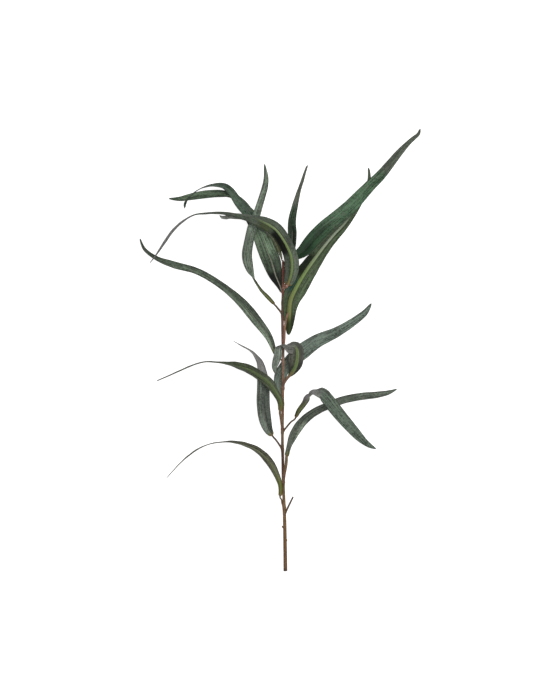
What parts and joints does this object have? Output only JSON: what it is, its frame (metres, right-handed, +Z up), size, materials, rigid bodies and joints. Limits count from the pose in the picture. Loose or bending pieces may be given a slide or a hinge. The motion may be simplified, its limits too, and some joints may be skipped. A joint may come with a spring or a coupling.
{
  "type": "eucalyptus branch",
  "caption": "Cut eucalyptus stem lying on its side, with long narrow sickle-shaped leaves that arch away to both sides on short petioles.",
  "frame": {"origin": "on the surface that the branch lies on, under the middle of its outline", "axes": "+Y along the stem from its cut end to its youngest leaves, +Z up from the surface, +X to the right seen from above with the youngest leaves at the top"},
  "size_m": [0.426, 0.6696, 0.0728],
  "materials": {
    "bark": "smooth young bark",
    "leaf": "satin leathery leaf"
  },
  "bodies": {
    "root": {"stem": "bark", "leaf_01_low_left": "leaf", "leaf_02_low_right": "leaf", "leaf_03_right_drooping": "leaf", "leaf_04_left_hanging": "leaf", "leaf_05_left_arching": "leaf", "leaf_06_looped": "leaf", "leaf_07_middle_right": "leaf", "leaf_08_long_left": "leaf", "leaf_09_left_upright": "leaf", "leaf_10_upper_left_back": "leaf", "leaf_11_upper_left_arching": "leaf", "leaf_12_top_arching": "leaf", "leaf_13_top_short": "leaf", "leaf_14_top_upright": "leaf", "leaf_15_right_broad": "leaf", "leaf_16_right_longest": "leaf"}
  },
  "joints": []
}
